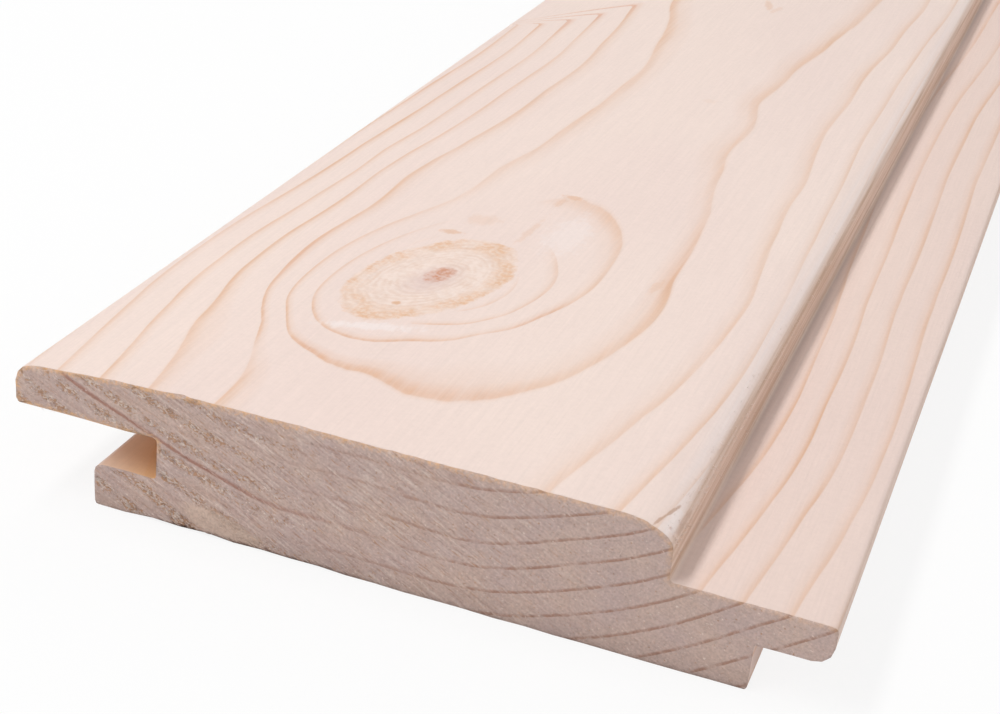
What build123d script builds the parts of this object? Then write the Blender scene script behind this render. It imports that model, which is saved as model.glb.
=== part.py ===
from build123d import *

import os

# Sauna panelling board: one length of softwood planed to a tongued and grooved section.
#
# The board lies flat on its back, with its face up. X runs across the board, from the grooved
# edge to the tongued edge, Y runs along it and Z is its thickness. The origin is on the back
# plane, under the middle of the whole board. All sizes are in millimetres.
#
# The grooved edge has a face lip that stands out past a shorter backing lip, with the groove
# between them. The tongued edge has a soft nose that drops to a wide shelf, and the end of
# the shelf is the tongue. When two boards are closed up, the face lip covers the shelf and
# butts against the nose, and the tongue lies in the groove.

# Driving sizes
board_length = 1800.0
overall_width = 90.0
thickness = 16.0

lip_overhang = 9.6  # face lip past the edge of the backing lip
groove_depth = 7.5  # from the edge of the backing lip to the groove's root
tongue_thickness = 4.3
tongue_height = 5.4  # back plane to the underside of the tongue

# Room that the joint leaves
tongue_play = 0.3  # above and below the tongue
tongue_end_gap = 0.3  # between the tongue's tip and the groove's root
backing_gap = 0.4  # between the backing lip and the shoulder behind the tongue

# Softened face
crown_width = 26.0  # part of the face that falls away towards the lip
crown_drop = 1.4
nose_width = 5.5  # half-axes of the elliptical nose
nose_drop = 2.7

# Corner radii
lip_face_radius = 2.2
lip_back_radius = 0.4
groove_root_radius = 0.5
backing_face_radius = 1.0
back_edge_radius = 0.4
shoulder_root_radius = 0.3
tip_back_radius = min(2.0, tongue_thickness / 2)
tip_face_radius = min(0.7, tongue_thickness / 4)
shelf_root_radius = 0.5

# Places across the section
lip_edge = -overall_width / 2
backing_edge = lip_edge + lip_overhang
groove_root = backing_edge + groove_depth
tongue_tip = overall_width / 2
tongue_length = groove_depth - tongue_end_gap + backing_gap
shoulder = tongue_tip - tongue_length
shelf_width = lip_overhang + groove_depth - tongue_end_gap
nose_wall = tongue_tip - shelf_width
nose_start = nose_wall - nose_width
crown_start = lip_edge + crown_width

# Heights in the section, from the back plane
tongue_face = tongue_height + tongue_thickness
groove_floor = tongue_height - tongue_play
groove_roof = tongue_face + tongue_play
crown_foot = thickness - crown_drop
nose_foot = thickness - nose_drop

# Corners of the section that are rounded, each with its radius
rounded_corners = (
    (lip_edge, crown_foot, lip_face_radius),
    (lip_edge, groove_roof, lip_back_radius),
    (groove_root, groove_roof, groove_root_radius),
    (groove_root, groove_floor, groove_root_radius),
    (backing_edge, groove_floor, backing_face_radius),
    (backing_edge, 0, back_edge_radius),
    (shoulder, 0, back_edge_radius),
    (shoulder, tongue_height, shoulder_root_radius),
    (tongue_tip, tongue_height, tip_back_radius),
    (tongue_tip, tongue_face, tip_face_radius),
    (nose_wall, tongue_face, shelf_root_radius),
)

with BuildPart() as panelling_board:
    with BuildSketch(Plane.XZ) as section:
        with BuildLine() as outline:
            face = Line((crown_start, thickness), (nose_start, thickness))
            nose = EllipticalCenterArc(
                center=(nose_start, nose_foot),
                x_radius=nose_width,
                y_radius=nose_drop,
                start_angle=0,
                arc_size=90,
            )
            Polyline(
                (nose_wall, nose_foot),
                (nose_wall, tongue_face),
                (tongue_tip, tongue_face),
                (tongue_tip, tongue_height),
                (shoulder, tongue_height),
                (shoulder, 0),
                (backing_edge, 0),
                (backing_edge, groove_floor),
                (groove_root, groove_floor),
                (groove_root, groove_roof),
                (lip_edge, groove_roof),
                (lip_edge, crown_foot),
            )
            TangentArc(face @ 0, (lip_edge, crown_foot), tangent=(-1, 0))
        make_face()
        for x, z, radius in rounded_corners:
            fillet(section.vertices().sort_by_distance((x, z))[0], radius=radius)
    extrude(amount=board_length / 2, both=True)
panelling_board.part.label = "panelling_board"

os.makedirs("parts", exist_ok=True)
export_step(panelling_board.part, "parts/panelling_board.step")
print("panelling_board", panelling_board.part.bounding_box().size)
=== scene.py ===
import bpy
import numpy as np
from mathutils import Matrix, Vector
from mathutils.geometry import delaunay_2d_cdt


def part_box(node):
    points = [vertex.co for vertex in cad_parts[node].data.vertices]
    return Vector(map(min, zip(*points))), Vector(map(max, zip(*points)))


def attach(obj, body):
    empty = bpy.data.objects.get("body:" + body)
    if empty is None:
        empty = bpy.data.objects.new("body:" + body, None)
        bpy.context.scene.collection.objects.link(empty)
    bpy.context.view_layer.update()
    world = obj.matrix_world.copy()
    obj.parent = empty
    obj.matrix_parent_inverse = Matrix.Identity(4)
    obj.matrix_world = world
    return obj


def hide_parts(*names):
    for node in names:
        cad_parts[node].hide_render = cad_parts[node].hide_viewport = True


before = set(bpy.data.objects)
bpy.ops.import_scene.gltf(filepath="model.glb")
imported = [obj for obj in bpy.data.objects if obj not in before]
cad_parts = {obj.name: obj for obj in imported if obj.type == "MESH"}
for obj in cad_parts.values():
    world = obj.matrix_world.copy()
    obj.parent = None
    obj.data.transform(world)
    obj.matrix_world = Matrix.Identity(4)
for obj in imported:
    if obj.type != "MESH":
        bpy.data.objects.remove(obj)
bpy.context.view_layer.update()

low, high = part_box("panelling_board")

# Lengths here are millimetres and become metres where a mesh is made. x runs from the middle of
# the board's width, y from the near sawn end, and z from the back.
mm = 0.001
boardWidth = (high.x - low.x) / mm
boardLength = (high.y - low.y) / mm
boardThickness = (high.z - low.z) / mm

section = {
    "lipOverhang": 9.6,
    "grooveDepth": 7.5,
    "tongueThickness": 4.3,
    "tongueHeight": 5.4,
    "tonguePlay": 0.3,
    "tongueEndGap": 0.3,
    "backingGap": 0.4,
    "crownWidth": 26.0,
    "crownDrop": 1.4,
    "noseWidth": 5.5,
    "noseDrop": 2.7,
    "faceStep": 1.3,  # longest edge across the face and the shelf
    "backStep": 3.4,  # longest edge across the back, the groove and the tongue's underside
}

lipEdge = -boardWidth / 2
tongueTip = boardWidth / 2
backingEdge = lipEdge + section["lipOverhang"]
grooveRoot = backingEdge + section["grooveDepth"]
tongueReach = section["grooveDepth"] - section["tongueEndGap"]
shoulder = tongueTip - tongueReach - section["backingGap"]
noseWall = tongueTip - section["lipOverhang"] - tongueReach
noseStart = noseWall - section["noseWidth"]
noseFoot = boardThickness - section["noseDrop"]
shelfTop = section["tongueHeight"] + section["tongueThickness"]
grooveFloor = section["tongueHeight"] - section["tonguePlay"]
grooveRoof = shelfTop + section["tonguePlay"]

trunk = {
    "pithX": -2.4,  # the tree's middle stood above the face, a little left of the board's middle
    "pithZ": 61.8,
    "ringWidth": 2.72,
    "secondRing": 48.9,  # radius of the growth ring that is counted as 2
    "wander": (2.2, 92.0, 1.6, 47.0),  # how far the middle strays, and over what length
    "swell": (2.4, 71.0, 1.3, 33.0, 2.0, 260.0),
}

# Knots, each a branch that crosses the board: its place in the face, its radius, how far it leans
# along the board for each millimetre of depth, and how many rings it draws round itself. A cut
# branch is "long" times as long as wide.
knots = [
    {"x": -13.8, "y": 39.6, "radius": 8.0, "lean": 1.13, "pull": 3.2, "long": 1.84},
    {"x": 16.6, "y": 418.0, "radius": 5.5, "lean": 0.9, "pull": 2.4},
    {"x": -26.4, "y": 452.0, "radius": 3.0, "lean": 0.8, "pull": 1.6},
    {"x": -5.4, "y": 806.0, "radius": 8.6, "lean": 1.1, "pull": 3.0},
    {"x": 21.6, "y": 842.0, "radius": 2.6, "lean": 0.8, "pull": 1.4},
    {"x": -21.4, "y": 1195.0, "radius": 6.4, "lean": 1.0, "pull": 2.6},
    {"x": 9.6, "y": 1228.0, "radius": 4.0, "lean": 0.9, "pull": 1.8},
    {"x": 1.6, "y": 1590.0, "radius": 7.4, "lean": 1.05, "pull": 2.8},
]

# Where the growth rings meet the face near the near end, ring by ring, counted outwards from the
# tree's middle, drawn as (x, y).
leftRings = {
    5: [(-39.9, 0), (-41.1, 10), (-42.5, 22), (-43.2, 34), (-42.7, 50), (-41.2, 70), (-40.1, 92),
        (-39.0, 115), (-38.2, 135), (-38.8, 150)],
    4: [(-34.7, 0), (-36.2, 10), (-37.7, 20), (-38.9, 34), (-38.4, 50), (-36.9, 70), (-35.7, 92),
        (-34.8, 115), (-34.1, 135), (-35.0, 155)],
    3: [(-29.0, 0), (-30.7, 9), (-32.8, 17), (-35.0, 32), (-35.1, 45), (-33.9, 70), (-31.9, 92),
        (-30.7, 115), (-30.0, 140), (-31.1, 160)],
    2: [(-21.3, 0), (-23.1, 12), (-25.8, 20), (-28.2, 25), (-30.3, 34), (-30.9, 46), (-29.8, 70),
        (-27.2, 92), (-25.5, 118), (-25.5, 145), (-27.2, 168)],
}
loopRings = {
    1: [(-4.9, 11.8), (-11.4, 14.4), (-17.9, 16), (-22.9, 20), (-26.4, 27), (-27.4, 36),
        (-26.4, 48), (-23.2, 59), (-21.0, 66), (-20.0, 75), (-17.7, 92), (-15.9, 115),
        (-15.3, 137), (-17.8, 158), (-20.5, 172), (-22.3, 181), (1.1, 13.5), (5.1, 17.5),
        (9.9, 26), (12.0, 34), (13.6, 46), (12.4, 56), (11.8, 70), (10.9, 80), (8.8, 92),
        (7.3, 107), (6.1, 130), (7.3, 150), (9.9, 175), (12.4, 205)],
    0: [(-19.9, 22.6), (-16.4, 21.2), (-12.4, 21.8), (-7.9, 24.6), (-3.4, 29.6), (1.2, 37),
        (3.8, 45), (4.5, 52), (3.8, 62), (0.9, 70), (-3.6, 74.8), (-7.2, 75.2), (-22.8, 26.5),
        (-24.4, 32), (-24.5, 38)],
    -1: [(-10.4, 28.4), (-5.0, 31.4), (-2.2, 36), (-0.6, 42), (-0.2, 47), (-1.4, 52)],
    1.4: [(-3.4, 0)],
    1.25: [(-4.4, 6), (5, 9), (-14, 8)],
    0.8: [(-4.4, 16.6), (2.6, 20.4)],
    0.62: [(-5, 20), (1.0, 24.5), (5.6, 30), (8.4, 38), (9.6, 50), (8.6, 70), (5.0, 92), (3.6, 120),
           (3.2, 145), (5.6, 175), (-14.6, 92), (-12.6, 115), (-11.6, 137), (-12.8, 158)],
    0.4: [(-4, 100), (-4, 125), (-4, 150), (-4, 180)],
}
rightRings = {
    2: [(15.3, 0), (17.2, 10), (19.6, 22), (21.4, 34), (22.6, 54), (21.0, 72), (20.1, 100),
        (18.9, 140), (19.9, 175), (21.0, 205)],
    3: [(22.5, 0), (24.0, 10), (25.8, 22), (26.9, 36), (26.7, 52), (26.2, 70), (25.3, 100),
        (24.4, 140), (25.0, 180)],
}
shelfRings = {
    6: [(30.2, 22), (31.6, 45), (30.8, 72)],
    7: [(31.5, 0), (32.8, 10), (33.9, 20), (34.8, 45), (34.1, 75), (33.2, 110), (32.7, 145),
        (33.7, 180)],
    8: [(35.8, 0), (37.6, 18), (38.9, 45), (37.9, 80), (37.0, 130), (37.3, 165)],
    9: [(40.6, 0), (42.4, 18), (43.2, 45), (42.3, 80), (41.4, 135)],
}
# The same rings in the sawn end, as (x, z).
endRings = {
    4: [(8.6, 8.2), (18.3, 11.5)],
    5: [(-32.1, 11.7), (-25.4, 9.0), (-17.1, 6.3), (-8.7, 5.7)],
    6: [(-26.7, 7.0), (-18.7, 4.0)],
    7: [(-25.4, 3.0), (23.9, 5.0)],
}
ringFit = {
    "reach": np.array([13.0, 24.0, 13.0]),  # how far one drawn point bends the rings, x, y and z
    "slack": 0.004,  # how loosely they hold to the points
    "end": 330.0,  # nothing is bent past this
    "batch": 20000,  # vertices worked out at a time
}

# The fan of rings round a branch that stood just past the left edge.
edgeFan = {"x": -44.4, "y": 178.0, "halfLength": 26.0, "first": 11.0, "spread": 41.0}


def faceHeight(x):
    # The crown: the thickness, less a drop that grows with the square of the way to the lip.
    into = np.clip((lipEdge + section["crownWidth"] - x) / section["crownWidth"], 0, 1)
    return boardThickness - section["crownDrop"] * into**2


def knotOffset(knot, x, y, z):
    # Distance from the branch's axis at this depth, across and along, in branch radii.
    depth = boardThickness - z
    slope = (knot["x"] - trunk["pithX"]) / (trunk["pithZ"] - boardThickness)
    size = knot["radius"] * (1 + depth / 90)
    across = (x - knot["x"] - slope * depth) / size
    along = (y - knot["y"] + knot["lean"] * depth) / size
    return across, along


def plainRings(p):
    # Ring number: the distance from the tree's middle, which strays along the board, divided by
    # the ring width, less a bell round each knot.
    x, y, z = p.T
    settle = np.clip((y - 190) / 120, 0, 1)
    a, b, c, d = trunk["wander"]
    stray = (a * np.sin(y / b + 0.4) + c * np.sin(y / d + 2.0)) * settle
    a, b, c, d, e, f = trunk["swell"]
    swell = (a * np.sin(y / b + 1.1) + c * np.sin(y / d) + e * np.sin(y / f)) * settle
    swell = swell + 1.9 * np.clip((y - 20) / 60, 0, 1)
    radius = np.hypot(x - trunk["pithX"] - stray, z - trunk["pithZ"]) - swell
    ring = 2 + (radius - trunk["secondRing"]) / trunk["ringWidth"]
    for knot in knots:
        across, along = knotOffset(knot, x, y, z)
        reach = np.hypot(across, along / 2.1)
        ring = ring - knot["pull"] * np.exp(-np.maximum(reach - 0.8, 0) / 0.8)
    return ring


# Places where the dark ring lines fade or deepen: x, y, half-width, half-length and the change.
accents = [
    (-14.0, 60.0, 7.0, 17.0, -1.3),
    (-8.5, 60.0, 6.0, 10.0, -1.0),
    (-25.0, 21.0, 2.6, 6.0, 0.3),
    (-30.0, 40.0, 1.6, 9.0, 0.5),
    (-24.2, 34.0, 1.4, 9.0, -0.4),
    (-17.0, 17.0, 6.0, 2.2, 0.5),
    (-11.0, 22.5, 6.0, 2.5, 0.25),
    (1.0, 36.0, 2.5, 9.0, 0.5),
    (-23.6, 12.0, 2.6, 8.0, -0.8),
    (-1.0, 15.0, 9.0, 4.5, 0.4),
    (11.0, 60.0, 3.0, 14.0, 0.35),
    (-28.5, 172.0, 3.0, 6.0, 0.8),
    (-31.5, 165.0, 3.0, 6.0, 1.0),
    (-35.5, 156.0, 3.5, 7.0, 0.9),
    (-25.0, 130.0, 3.0, 36.0, -0.45),
    (18.3, 130.0, 3.0, 26.0, -0.55),
    (24.0, 135.0, 2.4, 30.0, -0.3),
    (25.8, 58.0, 2.4, 15.0, -0.6),
    (20.5, 34.0, 2.5, 8.0, -0.4),
]


def lineStrength(p):
    # 1 plus each accent's change times a bell of its half-sizes, and 0 right round a knot.
    x, y, z = p.T
    total = np.ones(len(p))
    for ax, ay, wide, long, change in accents:
        total += change * np.exp(-(((x - ax) / wide) ** 2 + ((y - ay) / long) ** 2))
    knot = nearestKnot(p)
    reach = np.hypot(knot[:, 0], knot[:, 1])
    return np.clip(total, 0, 2) * np.clip((reach - 1.08) / 0.12, 0, 1)


def bell(a, b):
    # (1 + d) exp(-d), d being 1.73 times the distance in units of the reach.
    d = np.sqrt((((a[:, None, :] - b[None, :, :]) / ringFit["reach"]) ** 2).sum(-1)) * 1.732
    return (1 + d) * np.exp(-d)


def drawnPoints():
    rows = []
    for rings in (leftRings, loopRings, rightRings):
        for level, points in rings.items():
            rows += [(x, y, faceHeight(x), level) for x, y in points]
    for level, points in shelfRings.items():
        rows += [(x, y, shelfTop, level) for x, y in points]
    for level, points in endRings.items():
        rows += [(x, 0, z, level) for x, z in points]
    rows = np.array(rows, float)
    return rows[:, :3], rows[:, 3]


def makeRings():
    # The plain rings plus a weighted sum of bells, one on each drawn point, with the weights that
    # make the rings pass through the points.
    points, levels = drawnPoints()
    stiffness = bell(points, points) + ringFit["slack"] * np.eye(len(points))
    weights = np.linalg.solve(stiffness, levels - plainRings(points))

    def rings(p):
        ring = plainRings(p)
        near = np.flatnonzero(p[:, 1] < ringFit["end"])
        for part in np.array_split(near, max(1, len(near) // ringFit["batch"])):
            ring[part] += bell(p[part], points) @ weights
        # in the fan the ring number falls with the angle seen from the branch, and the lower of
        # the two fields counts, with a soft join
        across = np.maximum(p[:, 0] - edgeFan["x"], 0.01)
        along = edgeFan["halfLength"] - np.abs(p[:, 1] - edgeFan["y"])
        angle = np.degrees(np.arctan2(along, across)) - edgeFan["first"]
        fan = 5 - 3 * np.clip(angle / edgeFan["spread"], 0, 1.1) ** 1.8
        fan = np.where(angle < 0, 5 - 0.5 * angle, fan)
        soft = 0.07
        joined = -soft * np.logaddexp(-ring / soft, -fan / soft)
        near = (p[:, 0] < -18) & (np.abs(p[:, 1] - edgeFan["y"]) < edgeFan["halfLength"] + 8)
        return np.where(near, joined, ring)

    return rings


def roundCorner(before, corner, after, radius, count=4):
    # An arc of the radius that touches both straight sides of the corner.
    toBefore = (before - corner) / np.linalg.norm(before - corner)
    toAfter = (after - corner) / np.linalg.norm(after - corner)
    half = np.arccos(np.clip(toBefore @ toAfter, -1, 1)) / 2
    middle = toBefore + toAfter
    centre = corner + middle / np.linalg.norm(middle) * radius / np.sin(half)
    start = corner + toBefore * radius / np.tan(half) - centre
    end = corner + toAfter * radius / np.tan(half) - centre
    t = np.linspace(0, 1, count)[:, None]
    turn = np.arccos(np.clip(start @ end / radius**2, -1, 1))
    return centre + (np.sin((1 - t) * turn) * start + np.sin(t * turn) * end) / np.sin(turn)


def sectionLoop():
    # The board's outline in x and z, anticlockwise seen from the near end: crown, flat face,
    # elliptical nose, shelf, tongue, back, backing lip, groove and face lip.
    t = np.linspace(0, np.pi / 2, 17)
    nose = np.stack([noseStart + section["noseWidth"] * np.sin(t),
                     noseFoot + section["noseDrop"] * np.cos(t)], 1)
    crownX = np.linspace(lipEdge, lipEdge + section["crownWidth"], 14)
    crown = np.stack([crownX, faceHeight(crownX)], 1)
    corners = [
        (noseWall, shelfTop, 0.5),
        (tongueTip, shelfTop, 0.7),
        (tongueTip, section["tongueHeight"], 2.0),
        (shoulder, section["tongueHeight"], 0.3),
        (shoulder, 0, 0.4),
        (backingEdge, 0, 0.4),
        (backingEdge, grooveFloor, 1.0),
        (grooveRoot, grooveFloor, 0.5),
        (grooveRoot, grooveRoof, 0.5),
        (lipEdge, grooveRoof, 0.4),
        (lipEdge, crown[0, 1], 2.2),
    ]
    places = [nose[-1]] + [np.array(corner[:2]) for corner in corners] + [crown[3]]
    parts = [nose]
    for k, (_, _, radius) in enumerate(corners):
        parts.append(roundCorner(places[k], places[k + 1], places[k + 2], radius))
    parts.append(crown[3:])
    coarse = np.concatenate(parts)
    following = np.roll(coarse, -1, axis=0)
    length = np.linalg.norm(following - coarse, axis=1)
    top = np.maximum(coarse[:, 1], following[:, 1])
    rightmost = np.maximum(coarse[:, 0], following[:, 0])
    inGroove = (rightmost < grooveRoot + 0.6) & (top < grooveRoof + 0.5)
    step = np.where(inGroove | (top < shelfTop - 0.3), section["backStep"], section["faceStep"])
    pieces = np.ceil(length / step - 0.001).astype(int).clip(1)
    first = np.repeat(np.cumsum(pieces) - pieces, pieces)
    share = ((np.arange(pieces.sum()) - first) / np.repeat(pieces, pieces))[:, None]
    begin, finish = np.repeat(coarse, pieces, 0), np.repeat(following, pieces, 0)
    return (begin * (1 - share) + finish * share)[::-1]


rowSteps = {
    "end": 0.3,  # spacing of the rows of faces at the two ends
    "drawn": 1.2,  # over the part of the board that has a drawn figure
    "drawnLength": 215.0,
    "knot": 2.2,
    "plain": 8.0,
}


def stations():
    # Places along the board, close together near the ends and the knots, and wider apart in
    # proportion to the way from them.
    y = np.linspace(0, boardLength, 20001)
    spacing = np.full(len(y), rowSteps["plain"])
    past = np.maximum(y - rowSteps["drawnLength"], 0)
    spacing = np.minimum(spacing, rowSteps["drawn"] + past / 13)
    spacing = np.minimum(spacing, rowSteps["end"] + y / 5)
    spacing = np.minimum(spacing, rowSteps["end"] + (boardLength - y) / 12)
    for knot in knots[1:]:
        far = np.maximum(np.abs(y - knot["y"] + 8 * knot["lean"]) - 2 * knot["radius"], 0)
        spacing = np.minimum(spacing, rowSteps["knot"] + far / 6)
    count = np.concatenate([[0], np.cumsum((1 / spacing)[1:] * np.diff(y))])
    return np.interp(np.linspace(0, count[-1], int(count[-1]) + 1), count, y)


def hillNoise(p, scale, seed, octaves=3):
    # Smooth noise from -1 to 1: sines in random directions, each octave twice as fine and half
    # as high.
    rng = np.random.default_rng(seed)
    total = np.zeros(len(p))
    for octave in range(octaves):
        for _ in range(5):
            direction = rng.normal(size=p.shape[1])
            direction *= 2**octave / scale / np.linalg.norm(direction) * rng.uniform(0.7, 1.4)
            total += np.sin(p @ direction * 6.28 + rng.uniform(0, 6.28)) * 0.5**octave
    return total / 4


def insideOutline(points, loop):
    # A point is inside when a line from it crosses the outline an odd number of times.
    inside = np.zeros(len(points), bool)
    for a, b in zip(loop, np.roll(loop, -1, axis=0)):
        if a[1] != b[1]:
            crosses = (a[1] > points[:, 1]) != (b[1] > points[:, 1])
            at = a[0] + (points[:, 1] - a[1]) / (b[1] - a[1]) * (b[0] - a[0])
            inside ^= crosses & (points[:, 0] < at)
    return inside


def capPoints(loop, spacing, seed):
    # A staggered grid inside the outline, less the points that nearly touch it.
    rng = np.random.default_rng(seed)
    x = np.arange(lipEdge, tongueTip, spacing)
    z = np.arange(0, boardThickness, spacing * 0.866)
    gx, gz = np.meshgrid(x, z)
    gx = gx + (np.arange(len(z)) % 2)[:, None] * spacing / 2
    grid = np.stack([gx.ravel(), gz.ravel()], 1) + rng.uniform(-0.12, 0.12, (gx.size, 2)) * spacing
    nearest = np.full(len(grid), 1e9)
    for a, b in zip(loop, np.roll(loop, -1, axis=0)):
        along = np.clip(((grid - a) @ (b - a)) / ((b - a) @ (b - a)), 0, 1)[:, None]
        nearest = np.minimum(nearest, np.linalg.norm(grid - a - along * (b - a), axis=1))
    keep = insideOutline(grid, loop) & (nearest > spacing * 0.45)
    return grid[keep], nearest[keep]


endFace = {
    "nearSpacing": 0.34,
    "farSpacing": 1.0,
    "roughness": 0.13,
    "arris": 0.2,
    "arrisReach": 1.5,  # how far along the board the raggedness dies away
    "tearDepth": 0.34,
    "tearTurn": 28.0,  # slope of the saw's strokes, degrees below level
    "seed": 11,  # the far end takes the next one
}


def tears(rings, x, z, plane, seed):
    # How torn the end is: most in the soft wood of each year and on the grooved side, 0 to 1.
    p = np.stack([x, z], 1)
    share = np.mod(rings(np.stack([x, np.full(len(x), plane), z], 1)), 1)
    soft = np.clip(1.3 - np.abs(share - 0.42) / 0.24, 0, 1)
    left = 0.12 + 0.88 * np.clip((-8 - x) / 16, 0, 1)
    patches = np.clip(0.95 + 0.8 * hillNoise(p, 6.0, seed + 3, 1), 0.4, 1)
    return soft * left * patches


def endDepth(rings, x, z, plane, seed):
    # How far the saw left the end back from its plane: fine grain, slanting strokes and pits.
    a = np.radians(endFace["tearTurn"])
    across = x * np.sin(a) + z * np.cos(a)
    along = x * np.cos(a) - z * np.sin(a)
    fine = hillNoise(np.stack([x, z], 1), 0.9, seed, 2)
    strokes = hillNoise(np.stack([along / 4, across], 1), 0.8, seed + 1, 2)
    depth = endFace["roughness"] * np.clip(0.6 + 0.5 * fine + 0.5 * strokes, 0, 1.6)
    pits = np.clip(0.3 + 1.4 * hillNoise(np.stack([x, z], 1), 0.5, seed + 2, 2), 0, 1)
    return depth + endFace["tearDepth"] * pits * tears(rings, x, z, plane, seed)


def makeBoard(rings):
    # Sides: the outline carried along the length. Ends: the outline filled with triangles.
    loop = sectionLoop()
    y = stations()
    rows, columns = len(y), len(loop)
    x = np.tile(loop[:, 0], rows)
    z = np.tile(loop[:, 1], rows)
    along = np.repeat(y, columns)
    column = np.tile(np.arange(columns), rows)
    ends = (
        (0.0, 1, endFace["nearSpacing"], endFace["seed"]),
        (boardLength, -1, endFace["farSpacing"], endFace["seed"] + 1),
    )
    # the sawn arrises are ragged, most along the torn foot and above the tongue
    for plane, sign, _, seed in ends:
        ragged = endDepth(rings, loop[:, 0], loop[:, 1], plane, seed) * 0.6
        foot = (loop[:, 1] < 0.3) & (loop[:, 0] > -29) & (loop[:, 0] < -2)
        upper = loop[:, 1] > 9
        chips = np.abs(hillNoise(loop, 0.7, seed + 5, 2))
        ragged = ragged + endFace["arris"] * chips * (1 + foot) + 0.1 * upper
        fade = np.clip(1 - np.abs(along - plane) / endFace["arrisReach"], 0, 1) ** 2
        along = along + sign * fade * ragged[column]
    sides = np.stack([x, along, z], 1)
    a = np.arange(rows - 1)[:, None] * columns + np.arange(columns)[None, :]
    b = np.arange(rows - 1)[:, None] * columns + np.roll(np.arange(columns), -1)[None, :]
    quads = np.stack([a, b, b + columns, a + columns], -1).reshape(-1, 4)
    vertices = [sides]
    faces = [quads[:, ::-1]]
    edge = [np.minimum(sides[:, 1], boardLength - sides[:, 1])]
    torn = [np.zeros(len(sides))]
    start = len(sides)
    capFaces = []
    for plane, sign, spacing, seed in ends:
        inner, fromEdge = capPoints(loop, spacing, seed)
        flat = np.concatenate([loop, inner])
        edges = [(k, (k + 1) % columns) for k in range(columns)]
        _, _, triangles, origin, _, _ = delaunay_2d_cdt(
            [Vector(p) for p in flat], edges, [], 1, 1e-6, True
        )
        source = np.array([o[0] for o in origin])
        triangles = source[np.array(triangles)]
        triangles = triangles[insideOutline(flat[triangles].mean(1), loop)]
        depth = endDepth(rings, inner[:, 0], inner[:, 1], plane, seed)
        vertices.append(np.stack([inner[:, 0], plane + sign * depth, inner[:, 1]], 1))
        edge.append(fromEdge)
        torn.append(tears(rings, inner[:, 0], inner[:, 1], plane, seed))
        rim = 0 if sign > 0 else (rows - 1) * columns
        index = np.where(triangles < columns, triangles + rim, triangles - columns + start)
        corner = flat[triangles]
        p, q, r = corner[:, 0], corner[:, 1], corner[:, 2]
        area = (q[:, 0] - p[:, 0]) * (r[:, 1] - p[:, 1]) - (q[:, 1] - p[:, 1]) * (r[:, 0] - p[:, 0])
        flip = (area * sign) < 0
        index[flip] = index[flip][:, ::-1]
        capFaces.append(index)
        start += len(inner)
    vertices = np.concatenate(vertices)
    caps = np.concatenate(capFaces)
    return vertices, quads[:, ::-1], caps, np.concatenate(edge), np.concatenate(torn)


noseSplit = {
    "x": 25.7,  # the split runs from here at the near end, to the right with the slope
    "slope": 0.235,
    "length": 7.0,
    "depth": 0.13,
    "width": 0.2,
    "sunk": 0.08,  # how far the wood to the right of it has sunk, and over what length
    "sunkLength": 6.0,
}


def splitNose(vertices):
    # A narrow furrow in the nose: depth times a bell across it, fading out along it. The wood to
    # the right of it lies a little lower.
    x, y, z = vertices.T
    onNose = (x > noseStart) & (z > noseFoot - 0.1)
    off = x - noseSplit["x"] - noseSplit["slope"] * y
    fade = np.clip((noseSplit["length"] - y) / 3, 0, 1) * onNose
    furrow = noseSplit["depth"] * np.exp(-((off / noseSplit["width"]) ** 2)) * fade
    fade = np.clip((noseSplit["sunkLength"] - y) / 3, 0, 1) * onNose
    down = furrow + noseSplit["sunk"] * np.clip(off / 0.3, 0, 1) * fade
    return vertices - np.stack([0.45 * down, 0 * down, 0.9 * down], 1)


fibres = {
    "noseCount": 360,
    "noseSpread": 34.0,  # most of them lie this near the end, and none past the reach
    "noseReach": 400.0,
    "endCount": 420,
    "radius": (0.012, 0.03),
    "length": (0.35, 1.3),
    "seed": 7,
}


def threadMesh(base, direction, length, radius, bend):
    # Bent tapered threads: a triangle at the root, a smaller one halfway and a point.
    count = len(base)
    direction = direction / np.linalg.norm(direction, axis=1)[:, None]
    helper = np.where(np.abs(direction[:, 2:]) < 0.9, [[0.0, 0.0, 1.0]], [[1.0, 0.0, 0.0]])
    e1 = np.cross(direction, helper)
    e1 /= np.linalg.norm(e1, axis=1)[:, None]
    e2 = np.cross(direction, e1)
    half = base + direction * (length / 2)[:, None]
    tip = base + direction * length[:, None] + bend
    turns = np.radians([0, 120, 240])
    ring = e1[:, None, :] * np.cos(turns)[:, None] + e2[:, None, :] * np.sin(turns)[:, None]
    low = base[:, None, :] + ring * radius[:, None, None]
    middle = half[:, None, :] + ring * radius[:, None, None] * 0.75
    points = np.concatenate([low, middle, tip[:, None, :]], 1).reshape(-1, 3)
    sides = np.array([[0, 1, 4, 3], [1, 2, 5, 4], [2, 0, 3, 5]])
    ends = np.array([[3, 4, 6], [4, 5, 6], [5, 3, 6], [0, 2, 1]])
    offset = (np.arange(count) * 7)[:, None, None]
    return points, (sides[None] + offset).reshape(-1, 4), (ends[None] + offset).reshape(-1, 3)


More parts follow.
